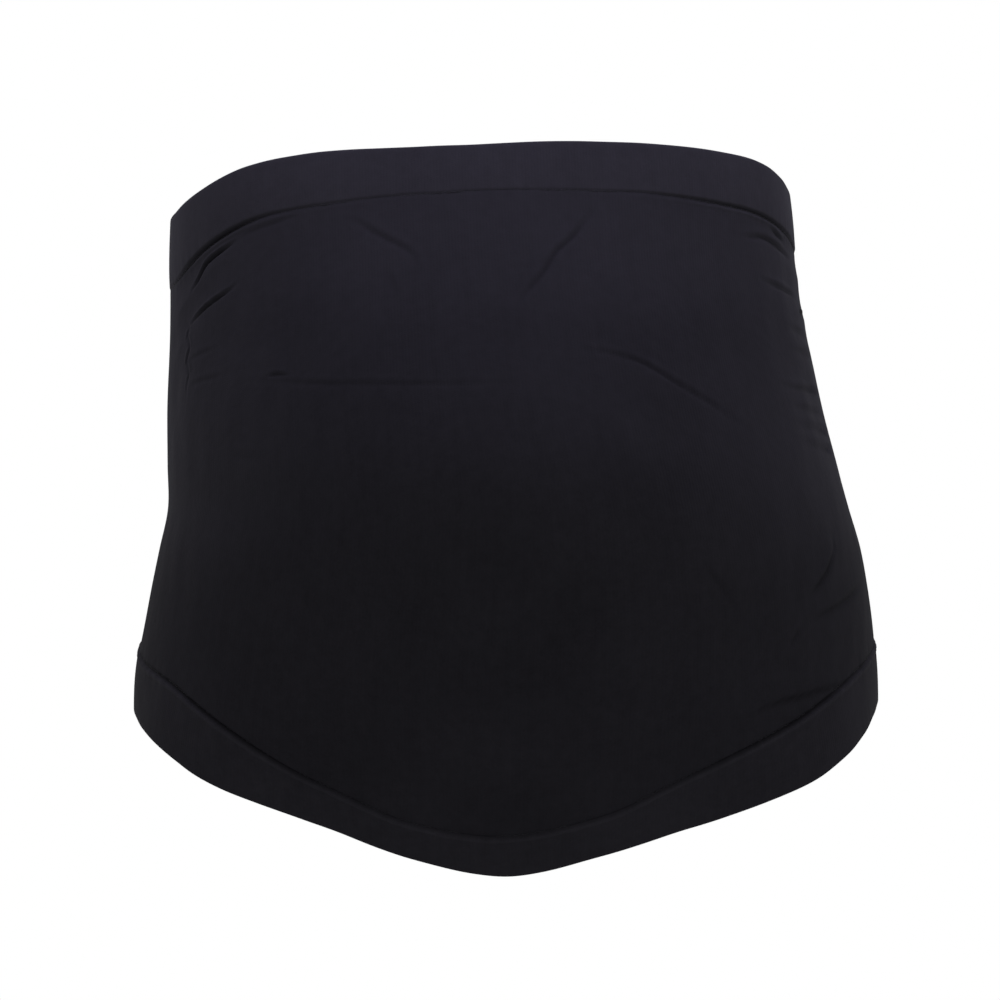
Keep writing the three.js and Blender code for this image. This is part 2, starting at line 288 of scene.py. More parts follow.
# How much each pattern counts in the relief, in the tone and in how high the cloth stands.
RELIEF_WEIGHTS = {"rib": 0.5, "loops": 0.2}
TONE_WEIGHTS = {"streaks": 0.2, "clouds": 0.4, "fibres": 0.35, "mottle": 0.35, "relief": 0.035}
HEIGHT_WEIGHTS = {"relief": 0.25, "fibres": 0.2, "mottle": 1.5}
BUMP_STRENGTH = 0.3
KNIT_BUMP = 0.3 * MM
THREAD_BUMP = 0.05 * MM
KNIT_ROUGHNESS = 0.68
FIBRE_ROUGHNESS = 0.2  # how much of the fibres' pattern is added to that
THREAD_TONE = 0.7
THREAD_FIBRE_TONE = 0.6  # how much of the fibres' pattern is added to that
# Painted light from above: the cloth's tone grows by this between these two heights, so it is lighter
# towards the top.
PAINTED_TOP_LIGHT_AMOUNT = 0.36
PAINTED_TOP_LIGHT_HEIGHTS = (0.065, 0.115)
# Its fibres' sheen grows from the first weight to the second between these two heights.
FUZZ_WEIGHTS = (0.004, 0.022)
FUZZ_HEIGHTS = (-0.04, 0.03)

# The soft lights: where each is, its width and height, its power in watts and its colour.
LIGHTS = (
    ("top_light", (0.0, -0.07, 0.33), (0.5, 0.3), 0.92, (1.0, 0.94, 1.38)),
    ("front_light", (0.0, -2.3, 0.2), (1.0, 1.0), 10.0, (1.0, 1.0, 1.03)),
    ("left_light", (-0.8, 0.2, 0.15), (0.4, 0.6), 0.7, (1.0, 0.98, 1.08)),
    ("right_light", (0.8, -0.1, 0.0), (0.4, 0.6), 1.0, (1.0, 0.98, 1.08)),
    ("back_light", (0.0, 2.2, 0.3), (3.0, 3.0), 11.0, (1.0, 1.0, 1.0)),
)
LIGHT_TARGET = (0, -0.05, 0)
SENSOR_WIDTH = 36.0  # of the camera, in millimetres
FLOOR_SIDES = 128
FLOOR_PAINT = (0.88, 0.88, 0.88, 1)
WHITE = (1, 1, 1, 1)


class BeltSizes(bpy.types.PropertyGroup):
    """The belt's sizes, worn."""

    belt_height: FloatProperty(
        name="Belt height", description="From its lowest point to its highest", default=0.295, unit="LENGTH"
    )
    hip_width: FloatProperty(
        name="Hip width", description="Across the hips at the lower hem", default=0.312, unit="LENGTH"
    )
    belly_reach: FloatProperty(
        name="Belly reach",
        description="From the body's axis to the belly's front",
        default=0.19,
        unit="LENGTH",
    )
    rear_reach: FloatProperty(
        name="Rear reach", description="From the body's axis to the rear", default=0.112, unit="LENGTH"
    )
    cloth_thickness: FloatProperty(
        name="Cloth thickness", description="One layer of the knit", default=1.2 * MM, unit="LENGTH"
    )
    hem_thickness: FloatProperty(
        name="Hem thickness", description="Two layers, folded over", default=2.4 * MM, unit="LENGTH"
    )
    hem_height: FloatProperty(
        name="Hem height",
        description="From the free edge to the seam, at the front",
        default=0.023,
        unit="LENGTH",
    )
    hem_step: FloatProperty(
        name="Hem step",
        description="How far a hem stands proud of the wall",
        default=0.5 * MM,
        unit="LENGTH",
    )
    fold_depth: FloatProperty(
        name="Fold depth", description="Of the deepest pull fold", default=2.4 * MM, unit="LENGTH"
    )
    fold_width: FloatProperty(
        name="Fold width",
        description="From a pull fold's middle to where it fades",
        default=8.5 * MM,
        unit="LENGTH",
    )
    rib_count: IntProperty(
        name="Ribs", description="Knitted ribs once round the tube", default=640, min=100
    )
    course_pitch: FloatProperty(
        name="Course pitch",
        description="From one row of loops to the next",
        default=1.0 * MM,
        unit="LENGTH",
    )
    stitch_pitch: FloatProperty(
        name="Stitch pitch",
        description="From one stitch of a seam to the next",
        default=1.7 * MM,
        unit="LENGTH",
    )
    thread_width: FloatProperty(
        name="Thread width",
        description="Of the thread that sews the hems",
        default=0.28 * MM,
        unit="LENGTH",
    )


class BeltColours(bpy.types.PropertyGroup):
    """The belt's colours."""

    wall: FloatVectorProperty(
        name="Wall",
        description="The knit of the belt's wall",
        default=(0.0128, 0.0122, 0.015),
        subtype="COLOR",
    )
    hem: FloatVectorProperty(
        name="Hem",
        description="The knit of the doubled hems",
        default=(0.0158, 0.015, 0.0184),
        subtype="COLOR",
    )
    thread: FloatVectorProperty(
        name="Thread",
        description="The thread of the seams",
        default=(0.0135, 0.0129, 0.0162),
        subtype="COLOR",
    )
    sheen: FloatVectorProperty(
        name="Sheen",
        description="The cast of the fibres' sheen",
        default=(0.85, 0.82, 1.0),
        subtype="COLOR",
    )


class StudioSizes(bpy.types.PropertyGroup):
    """Where the camera, the floor and the lights are."""

    camera_distance: FloatProperty(
        name="Camera distance", description="From the body's axis", default=2.4, unit="LENGTH"
    )
    camera_height: FloatProperty(
        name="Camera height", description="Above the origin, looking level", default=0.00336, unit="LENGTH"
    )
    view_width: FloatProperty(
        name="View width",
        description="What the picture spans at the body's axis",
        default=0.42,
        unit="LENGTH",
    )
    floor_drop: FloatProperty(
        name="Floor drop", description="From the origin down to the floor", default=1.2, unit="LENGTH"
    )
    floor_radius: FloatProperty(
        name="Floor radius", description="Of the round floor", default=11.0, unit="LENGTH"
    )
    floor_glow: FloatProperty(
        name="Floor glow",
        description="How much paler the floor looks than its light alone makes it",
        default=0.5,
    )
    sky_light: FloatProperty(
        name="Sky light", description="How strongly the white room lights the belt", default=0.37
    )


class TableCurve:
    """A smooth curve through each column of a table. The first column is the place along the curve."""

    def __init__(self, columns, rows, wraps=False):
        table = np.array(rows, float)
        self.columns = columns[1:]
        self.places = table[:, 0]
        self.values = table[:, 1:]
        secants = np.diff(self.values, axis=0) / np.diff(self.places)[:, None]
        before = np.vstack([secants[-1:] if wraps else secants[:1], secants])
        after = np.vstack([secants, secants[:1] if wraps else secants[-1:]])
        self.slopes = (before + after) / 2

    def at(self, place, name):
        place = np.clip(place, self.places[0], self.places[-1])
        row = np.clip(np.searchsorted(self.places, place, side="right") - 1, 0, len(self.places) - 2)
        column = self.columns.index(name)
        width = self.places[row + 1] - self.places[row]
        t = (place - self.places[row]) / width
        start = self.values[row, column]
        end = self.values[row + 1, column]
        leaving = self.slopes[row, column] * width
        arriving = self.slopes[row + 1, column] * width
        return (
            (1 + 2 * t) * (1 - t) ** 2 * start
            + t * (1 - t) ** 2 * leaving
            + t**2 * (3 - 2 * t) * end
            - t**2 * (1 - t) * arriving
        )


def unit(vectors):
    return vectors / np.linalg.norm(vectors, axis=-1, keepdims=True)


class BodyForm:
    """The smooth body under the cloth. Angles are in degrees from the front, lengths in metres."""

    def __init__(self, sizes):
        self.sizes = sizes
        self.section = TableCurve(SECTION_COLUMNS, SECTIONS)
        self.edge = TableCurve(EDGE_COLUMNS, EDGES, wraps=True)

    def points(self, angle, height):
        turn = np.radians(angle)
        rise = height / self.sizes.belt_height
        front = self.section.at(rise, "front") * self.sizes.belly_reach
        rear = self.section.at(rise, "rear") * self.sizes.rear_reach
        reach = np.where(np.cos(turn) > 0, front, rear)
        swell = 1.0
        for column, middle, spread in SWELLS:
            off = np.minimum(np.abs(np.abs(angle) - middle) / spread, 1)
            swell = swell + (self.section.at(rise, column) - 1) * np.cos(off * np.pi / 2) ** 2
        flank = self.section.at(rise, "flank") * swell * np.sin(turn)
        x = self.sizes.hip_width / 2 * (self.section.at(rise, "lean") + flank)
        y = -reach * swell * np.cos(turn)
        return np.stack(np.broadcast_arrays(x, y, height), axis=-1)

    def edge_height(self, angle, name):
        return self.edge.at(angle, name) * self.sizes.belt_height

    def round_tangent(self, angle, heights):
        """The direction round the body of a line over it. heights is a function of the angle."""
        step = 0.5
        after = self.points(angle + step, heights(angle + step))
        return unit(after - self.points(angle - step, heights(angle - step)))

    def up_tangent(self, angle, height):
        step = 0.2 * MM
        return unit(self.points(angle, height + step) - self.points(angle, height - step))

    def normals(self, angle, height):
        return unit(np.cross(self.round_tangent(angle, lambda _: height), self.up_tangent(angle, height)))


class ClothLines:
    """Lines up the cloth at fixed angles, from the lower edge to the upper edge."""

    SAMPLES = 201

    def __init__(self, body, angles):
        self.body = body
        self.angles = angles
        bottom = body.edge_height(angles, "lower")
        top = body.edge_height(angles, "upper")
        share = np.linspace(0, 1, self.SAMPLES)
        self.heights = bottom[:, None] + (top - bottom)[:, None] * share
        points = body.points(angles[:, None], self.heights)
        steps = np.linalg.norm(np.diff(points, axis=1), axis=2)
        self.run = np.hstack([np.zeros((len(angles), 1)), np.cumsum(steps, axis=1)])
        self.lengths = self.run[:, -1]

    def surface(self, distance):
        """Points and normals that far along each line from the lower edge, one row of distances a line."""
        rows = zip(distance, self.run, self.heights)
        height = np.array([np.interp(wanted, run, heights) for wanted, run, heights in rows])
        angle = self.angles[:, None]
        return self.body.points(angle, height), self.body.normals(angle, height)

    def hem_width(self, edge):
        """How far along each line the hem at an edge ("upper" or "lower") reaches."""
        height = self.body.edge_height(self.angles, edge)
        along = self.body.round_tangent(self.angles, lambda angle: self.body.edge_height(angle, edge))
        slant = np.linalg.norm(np.cross(along, self.body.up_tangent(self.angles, height)), axis=1)
        return self.body.sizes.hem_height * self.body.edge.at(self.angles, f"{edge}_hem") / slant


def crowded(crowding, shares):
    """Places as close together as a table of (place, crowding) says, at shares of the way through."""
    places, crowds = np.array(crowding, float).T
    fine = np.linspace(places[0], places[-1], CROWDING_STEPS + 1)
    passed = np.cumsum(np.interp((fine[1:] + fine[:-1]) / 2, places, crowds))
    passed = np.concatenate([[0], passed / passed[-1]])
    return np.interp(shares, passed, fine)


def spread_angles():
    return crowded(COLUMN_CROWDING, np.arange(COLUMNS) / COLUMNS)


def nearest_on_path(points, normals, path):
    """How far each point is from a path, on which side of it it lies, and how far along it, from 0 to 1."""
    lengths = np.linalg.norm(np.diff(path, axis=0), axis=1)
    starts = np.concatenate([[0], np.cumsum(lengths)])
    far = np.full(points.shape[:-1], np.inf)
    side = np.zeros(points.shape[:-1])
    along = np.zeros(points.shape[:-1])
    for start, end, begun, length in zip(path, path[1:], starts, lengths):
        run = (end - start) / length
        share = np.clip((points - start) @ run, 0, length)
        away = points - start - share[..., None] * run
        distance = np.linalg.norm(away, axis=-1)
        closer = distance < far
        far = np.where(closer, distance, far)
        turned = (np.cross(run, away) * normals).sum(axis=-1)
        side = np.where(closer, turned * (1 if run[0] > 0 else -1), side)
        along = np.where(closer, (begun + share) / starts[-1], along)
    return far, np.sign(side), along


def smooth_path(corners, steps=8):
    """A smooth line of points through a few corners."""
    corners = np.array(corners, float)
    padded = np.vstack([2 * corners[0] - corners[1], corners, 2 * corners[-1] - corners[-2]])
    line = []
    for before, start, end, after in zip(padded, padded[1:], padded[2:], padded[3:]):
        for t in np.arange(steps) / steps:
            line.append(
                0.5
                * (
                    2 * start
                    + (end - before) * t
                    + (2 * before - 5 * start + 4 * end - after) * t**2
                    + (3 * start - before - 3 * end + after) * t**3
                )
            )
    return np.array([*line, corners[-1]])


def pull_folds(body, points):
    """How deep the broad folds pull the cloth in, at points of it."""
    sizes = body.sizes
    deepest = np.zeros(points.shape[:-1])
    for start, end, share in PULL_FOLDS:
        ends = [body.points(np.array(float(a)), np.array(r * sizes.belt_height)) for a, r in (start, end)]
        run = ends[1] - ends[0]
        along = np.clip((points - ends[0]) @ run / (run @ run), 0, 1)
        far = np.linalg.norm(points - ends[0] - along[..., None] * run, axis=-1)
        fade = np.exp(-((far / sizes.fold_width) ** 2))
        swing = np.sin(np.pi * (FOLD_START + (1 - FOLD_START) * along))
        deepest = np.maximum(deepest, share * sizes.fold_depth * fade * swing)
    return deepest


def creases(body, points, normals):
    """How far the fine creases move points of the cloth outwards, and how much painted shade each point
    gets in them.
    """
    moved = np.zeros(points.shape[:-1])
    painted_shading = np.zeros(points.shape[:-1])
    for depth, width, lip, corners in CREASES:
        angles, rises = smooth_path(corners).T
        path = body.points(angles, rises * body.sizes.belt_height)
        far, side, along = nearest_on_path(points, normals, path)
        in_widths = far / (width * MM)
        ends = np.clip(along / CREASE_FADE, 0, 1) * np.clip((1 - along) / CREASE_FADE, 0, 1)
        fade = ends * ends * (3 - 2 * ends)
        valley = np.exp(-(in_widths**2))
        raised = lip * np.exp(-(((in_widths * side - CREASE_LIP_PLACE) / CREASE_LIP_WIDTH) ** 2))
        moved += depth * MM * fade * (raised - valley)
        # Painted shade: the colour is darkened along each crease's core, more for deeper creases.
        painted_shading = np.maximum(painted_shading, min(1, depth / TIGHT_CREASE) * fade**2 * valley)
    return moved, painted_shading


def ripples(points):
    """The slight unevenness of cloth that is stretched over a body, outwards."""
    draw = np.random.default_rng(RIPPLE_SEED)
    moved = np.zeros(points.shape[:-1])
    for _ in range(RIPPLE_COUNT):
        length = draw.uniform(*RIPPLE_LENGTHS)
        direction = unit(draw.normal(size=3) * RIPPLE_DIRECTIONS)
        phase = draw.uniform(0, 2 * np.pi)
        moved += RIPPLE_HEIGHT * np.sin(points @ direction * 2 * np.pi / length + phase)
    return moved


def seam_lip(from_seam):
    """How fully the cloth below a seam stands up beside it, from 0 to 1."""
    return np.exp(-(((from_seam - LIP_PLACE) / LIP_WIDTH) ** 2))


def seam_puckers(around, from_seam):
    """The small gathers that a seam's stitches pull into the cloth beside it, outwards."""
    draw = np.random.default_rng(PUCKER_SEED)
    wave = np.zeros(around.shape)
    for _ in range(PUCKER_COUNT):
        pitch = draw.uniform(*PUCKER_PITCHES) * MM
        wave += np.sin(2 * np.pi * around / pitch + draw.uniform(0, 2 * np.pi))
    return PUCKER_HEIGHT * wave * np.exp(-((from_seam / PUCKER_REACH) ** 2))


def ring_mesh(name, loops, knit, painted_shading):
    """A closed ring, from a closed loop of points for each column.

    knit is the knit's place at each point, with one more row and column than there are points.
    painted_shading is
    the painted shade at each point: up to 1, and less than 0 where a highlight is painted instead.
    """
    columns, points = loops.shape[:2]
    here = np.arange(columns)[:, None]
    place = np.arange(points)[None, :]
    across = (here + 1) % columns
    after = (place + 1) % points
    near = here * points
    far = across * points
    corners = (near + place, far + place, far + after, near + after)
    faces = np.stack(np.broadcast_arrays(*corners), axis=-1).reshape(-1, 4)
    maps = np.stack([knit[:-1, :-1], knit[1:, :-1], knit[1:, 1:], knit[:-1, 1:]], axis=2).reshape(-1, 2)
    mesh = bpy.data.meshes.new(name)
    mesh.vertices.add(columns * points)
    mesh.vertices.foreach_set("co", loops.reshape(-1).astype(np.float32))
    mesh.loops.add(faces.size)
    mesh.loops.foreach_set("vertex_index", faces.reshape(-1).astype(np.int32))
    mesh.polygons.add(len(faces))
    mesh.polygons.foreach_set("loop_start", np.arange(0, faces.size, 4, dtype=np.int32))
    mesh.update(calc_edges=True)
    layer = mesh.uv_layers.new(name="knit")
    layer.data.foreach_set("uv", maps.reshape(-1).astype(np.float32))
    attribute = mesh.attributes.new("painted_shading", "FLOAT", "POINT")
    attribute.data.foreach_set("value", painted_shading.reshape(-1).astype(np.float32))
    mesh.shade_smooth()
    mesh.validate()
    return mesh


def knit_map(sizes, lines, distance):
    """Which rib and which row of loops is at each place along the lines."""
    turned = np.concatenate([lines.angles, lines.angles[:1] + 360])
    rib = (turned / 360 + 0.5) * sizes.rib_count
    row = np.vstack([distance, distance[:1]]) / sizes.course_pitch
    row = np.hstack([row, row[:, :1]])
    return np.stack(np.broadcast_arrays(rib[:, None], row), axis=-1)


def add_object(name, data):
    made = bpy.data.objects.new(name, data)
    bpy.context.scene.collection.objects.link(made)
    return made


def add_piece(name, mesh, material, nodes):
    piece = add_object(name, mesh)
    mesh.materials.append(material)
    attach(piece, "root")
    if nodes:
        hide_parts(*nodes)
    return piece


def row_shares(angles):
    """How far up each line every row of the wall's outer face is, from 0 to 1."""
    even = np.linspace(0, 1, OUTER_ROWS + 1)
    places, reach = np.array(HIP_ROWS_REACH, float).T
    hip = np.interp(angles, places, reach)[:, None]
    hip = hip * hip * (3 - 2 * hip)
    return (1 - hip) * crowded(ROW_CROWDING, even) + hip * crowded(HIP_ROW_CROWDING, even)


def wall_mesh(sizes):
    lines = ClothLines(BodyForm(sizes), spread_angles())
    lower_seam = lines.hem_width("lower") + SEAM_GAP
    upper_seam = lines.lengths - lines.hem_width("upper") - SEAM_GAP
    start = (lower_seam - TUCK)[:, None]
    reach = (upper_seam + TUCK)[:, None] - start
    outer = start + reach * row_shares(lines.angles)
    inner = start + reach * np.linspace(1, 0, INNER_ROWS + 1)
    distance = np.hstack([outer, inner])
    points, normals = lines.surface(distance)
    from_seam = np.minimum(distance - lower_seam[:, None], upper_seam[:, None] - distance)
    inside = np.maximum(from_seam, 0)
    outwards = -FOLD_SHARE * pull_folds(lines.body, points)
    creased, painted_shading = creases(lines.body, points, normals)
    outwards += np.where(np.arange(distance.shape[1]) > OUTER_ROWS, np.minimum(creased, 0), creased)
    outwards += ripples(points)
    around = np.radians(lines.angles)[:, None] * MEAN_RADIUS
    outwards += seam_puckers(around, inside)
    nearer_upper = distance - lower_seam[:, None] > upper_seam[:, None] - distance
    pull = np.where(nearer_upper, seam_pull(lines, "upper"), seam_pull(lines, "lower"))
    groove = np.exp(-((inside / GROOVE_WIDTH) ** 2))
    outwards -= pull * GROOVE_DEPTH * groove
    outwards += np.where(nearer_upper, pull, 0) * SEAM_LIP * seam_lip(inside)
    # Painted shade in the seam's groove, darker as the seam pulls harder, and a painted highlight on the
    # lip below the upper seam.
    painted_shading = np.maximum(painted_shading, np.minimum(pull / TIGHT_PULL, 1) * groove)
    painted_shading -= np.where(nearer_upper, pull * PAINTED_LIP_HIGHLIGHT, 0) * seam_lip(inside)
    outwards[:, OUTER_ROWS + 1 :] -= sizes.cloth_thickness
    loops = points + normals * outwards[..., None]
    return ring_mesh("belly_tube_cloth", loops, knit_map(sizes, lines, distance), painted_shading)


def seam_pull(lines, edge):
    """How hard the seam at an edge ("upper" or "lower") is pulled in, at each line."""
    return TableCurve(SEAM_COLUMNS, SEAM_PULL, wraps=True).at(lines.angles, edge)[:, None]


def hem_profile(sizes):
    """A hem's section from the seam over its face, round the fold and back.

    Each point is how far it is from the free edge, how far outwards, and how far that is given by the seam.
    """
    radius = sizes.hem_thickness / 2
    face = sizes.hem_step
    back = face - sizes.hem_thickness
    profile = []
    for share in np.linspace(0, 1, HEM_FACE_ROWS + 1)[:-1] ** 2:
        along = sizes.hem_height + (radius - sizes.hem_height) * share
        drop = math.exp(-(((sizes.hem_height - along) / HEM_BEVEL) ** 2))
        profile.append((along, face + HEM_PUFF * math.sin(math.pi * share), drop))
    for turn in np.linspace(0, np.pi, HEM_TURN_STEPS + 1):
        profile.append((radius * (1 - math.sin(turn)), (face + back) / 2 + radius * math.cos(turn), 0))
    for share in np.linspace(0, 1, HEM_FACE_ROWS // 2 + 1)[1:]:
        profile.append((radius * (1 - share) + sizes.hem_height * share, back, 0))
    return np.array(profile)


def hem_mesh(sizes, edge):
    """The hem at an edge ("upper" or "lower"), folded at the free edge."""
    lines = ClothLines(BodyForm(sizes), spread_angles())
    profile = hem_profile(sizes)
    along, face, drop = (profile[::-1] if edge == "lower" else profile).T
    stretch = (lines.hem_width(edge) / sizes.hem_height)[:, None]
    from_edge = along[None, :] * stretch
    distance = lines.lengths[:, None] - from_edge if edge == "upper" else from_edge
    points, normals = lines.surface(distance)
    pull = seam_pull(lines, edge)
    ease = np.maximum(1 - pull / EASY_PULL, 0)
    step = sizes.hem_step * (1 - HEM_SOFTNESS) * (1 - ease * HEM_EASE_SHARE)
    step = step + pull * (sizes.hem_step * HEM_SOFTNESS + GROOVE_DEPTH)
    from_seam = sizes.hem_height * stretch - from_edge
    outwards = face - step * drop - ease * HEM_EASE * np.exp(-((from_seam / HEM_EASE_WIDTH) ** 2))
    around = np.radians(lines.angles)[:, None] * MEAN_RADIUS
    outwards = outwards + seam_puckers(around, from_seam)
    # Painted shade where the hem's face drops into a pulled seam.
    painted_shading = np.minimum(pull / TIGHT_PULL, 1) * drop
    if edge == "lower":
        outwards += (HEM_EDGE_LIP + pull * SEAM_LIP) * seam_lip(from_seam)
        # Painted highlight along the lower hem's raised edge beside its seam.
        painted_shading = painted_shading - PAINTED_HEM_EDGE_HIGHLIGHT * seam_lip(from_seam)
    outwards += ripples(points)
    loops = points + normals * outwards[..., None]
    return ring_mesh(f"{edge}_hem_cloth", loops, knit_map(sizes, lines, distance), painted_shading)


class NodeChain:
    """Adds nodes to a tree and links what they are given: a value, or another node's output."""

    def __init__(self, tree):
        self.tree = tree
        tree.nodes.clear()

    def add(self, kind, inputs=None, **settings):
        node = self.tree.nodes.new(kind)
        for name, value in settings.items():
            setattr(node, name, value)
        for key, value in (inputs or {}).items():
            if isinstance(value, bpy.types.NodeSocket):
                self.tree.links.new(value, node.inputs[key])
            else:
                node.inputs[key].default_value = value
        return node

    def math(self, operation, *values):
        return self.add("ShaderNodeMath", dict(enumerate(values)), operation=operation).outputs[0]

    def vector(self, operation, *values):
        return self.add("ShaderNodeVectorMath", dict(enumerate(values)), operation=operation).outputs[0]

    def noise(self, coordinates, scale, detail):
        inputs = {"Vector": coordinates, "Scale": scale, "Detail": detail}
        return self.add("ShaderNodeTexNoise", inputs).outputs[0]

    def weighed(self, weights, **values):
        """The sum of some values, each times its weight."""
        first, *rest = [self.math("MULTIPLY", values[name], weight) for name, weight in weights.items()]
        total = first
        for product in rest:
            total = self.math("ADD", total, product)
        return total

    def ramp(self, value, places, ends):
        """Smoothly from one end to the other while a value goes from one place to the other."""
        names = ("From Min", "From Max", "To Min", "To Max")
        inputs = {"Value": value, **dict(zip(names, (*places, *ends)))}
        return self.add("ShaderNodeMapRange", inputs, interpolation_type="SMOOTHSTEP").outputs[0]

    def scaled(self, value, weight, base):
        return self.math("ADD", self.math("MULTIPLY", value, weight), base)

    def bump(self, height, distance):
        inputs = {"Strength": BUMP_STRENGTH, "Distance": distance, "Height": height}
        return self.add("ShaderNodeBump", inputs).outputs[0]

    def shaded(self, colour, shade):
        """A fixed colour times a shade."""
        triple = self.add("ShaderNodeCombineXYZ", {0: shade, 1: shade, 2: shade}).outputs[0]
        return self.vector("MULTIPLY", tuple(colour), triple)


def blank_material(name):
    """A new material, and a chain in its emptied node tree."""
    material = bpy.data.materials.new(name)
    material.use_nodes = True
    return material, NodeChain(material.node_tree)


def knit_relief(chain, place):
    """How high the ribs and the rows of loops stand, from the map of which rib and row each place is on."""
    parts = chain.add("ShaderNodeSeparateXYZ", {0: place})
    rib_at = parts.outputs[0]
    row_at = parts.outputs[1]
    rib = chain.math("COSINE", chain.math("MULTIPLY", rib_at, 2 * math.pi))
    half_rib = chain.math("ABSOLUTE", chain.math("SINE", chain.math("MULTIPLY", rib_at, math.pi)))
    loop_at = chain.math("ADD", row_at, chain.math("MULTIPLY", half_rib, LOOP_RISE))
    loops = chain.math("SINE", chain.math("MULTIPLY", loop_at, 2 * math.pi))
    return chain.weighed(RELIEF_WEIGHTS, rib=rib, loops=loops)


def knit_material(name, colour, sheen):
    """Fine ribbed knit. Its pattern follows the cloth. Its colour has painted shade in creases and seams,
    painted highlights beside seams, and painted light towards the top.
    """
    material, chain = blank_material(name)
    place = chain.add("ShaderNodeUVMap", uv_map="knit").outputs[0]
    relief = knit_relief(chain, place)
    streaks = chain.noise(chain.vector("MULTIPLY", place, STREAK_SPREAD), 1.0, 4.0)
    coordinates = chain.add("ShaderNodeTexCoord").outputs["Object"]
    clouds = chain.noise(coordinates, CLOUD_SCALE, 2.0)
    mottle = chain.noise(coordinates, MOTTLE_SCALE, 3.0)
    fibres = chain.noise(coordinates, FIBRE_SCALE, 2.0)
    patterns = {"relief": relief, "fibres": fibres, "mottle": mottle}
    tone = chain.weighed(TONE_WEIGHTS, streaks=streaks, clouds=clouds, **patterns)
    height_up = chain.add("ShaderNodeSeparateXYZ", {0: coordinates}).outputs[2]
    # Painted light from above: the colour is made lighter towards the top of the belt.
    painted_top_light = chain.ramp(height_up, PAINTED_TOP_LIGHT_HEIGHTS, (0.0, PAINTED_TOP_LIGHT_AMOUNT))
    shade = chain.math("ADD", chain.math("ADD", tone, BASE_TONE), painted_top_light)
    # Painted shade in creases and seams, and painted highlights beside seams, carried by a mesh attribute.
    painted_shading = chain.add("ShaderNodeAttribute", attribute_name="painted_shading").outputs["Fac"]
    painted_shade_factor = chain.math("SUBTRACT", 1.0, chain.math("MULTIPLY", painted_shading, PAINTED_SHADE_DARKNESS))

    height = chain.weighed(HEIGHT_WEIGHTS, **patterns)
    bump = chain.bump(height, KNIT_BUMP)
    cloth = chain.add(
        "ShaderNodeBsdfPrincipled",
        {
            "Base Color": chain.shaded(colour, chain.math("MULTIPLY", shade, painted_shade_factor)),
            "Roughness": chain.scaled(fibres, FIBRE_ROUGHNESS, KNIT_ROUGHNESS),
            "Specular IOR Level": 0.03,
            "Sheen Weight": chain.ramp(height_up, FUZZ_HEIGHTS, FUZZ_WEIGHTS),
            "Sheen Roughness": 0.55,
            "Sheen Tint": (*sheen, 1.0),
            "Normal": bump,
        },
    )
    chain.add("ShaderNodeOutputMaterial", {"Surface": cloth.outputs[0]})
    return material


def thread_material(colours):
    """Sewing thread, twisted from fine fibres."""
    material, chain = blank_material("seam_thread")
    coordinates = chain.add("ShaderNodeTexCoord").outputs["Object"]
    fibres = chain.noise(coordinates, THREAD_FIBRE_SCALE, 2.0)
    shade = chain.scaled(fibres, THREAD_FIBRE_TONE, THREAD_TONE)
    bump = chain.bump(fibres, THREAD_BUMP)
    thread = chain.add(
        "ShaderNodeBsdfPrincipled",
        {
            "Base Color": chain.shaded(colours.thread, shade),
            "Roughness": 0.6,
            "Specular IOR Level": 0.2,
            "Normal": bump,
        },
    )
    chain.add("ShaderNodeOutputMaterial", {"Surface": thread.outputs[0]})
    return material


def seam_path(sizes, edge):
    """A seam as a closed line of points with the cloth's outward direction at each."""
    lines = ClothLines(BodyForm(sizes), spread_angles())
    from_edge = lines.hem_width(edge) + SEAM_GAP
    distance = lines.lengths - from_edge if edge == "upper" else from_edge
    points, normals = lines.surface(distance[:, None])
    sunk = seam_pull(lines, edge) * GROOVE_DEPTH + sizes.thread_width * STITCH_SUNK
    return points[:, 0] - normals[:, 0] * sunk, normals[:, 0]


def seam_line_mesh(sizes):
    mesh = bpy.data.meshes.new("seam_lines")
    parts = [seam_path(sizes, edge) for edge in ("upper", "lower")]
    points = np.vstack([points for points, _ in parts])
    outwards = np.vstack([normals for _, normals in parts])
    edges = [(first + i, first + (i + 1) % COLUMNS) for first in (0, COLUMNS) for i in range(COLUMNS)]
    mesh.from_pydata(points.tolist(), edges, [])
    attribute = mesh.attributes.new("outwards", "FLOAT_VECTOR", "POINT")
    attribute.data.foreach_set("vector", outwards.reshape(-1).astype(np.float32))
    return mesh


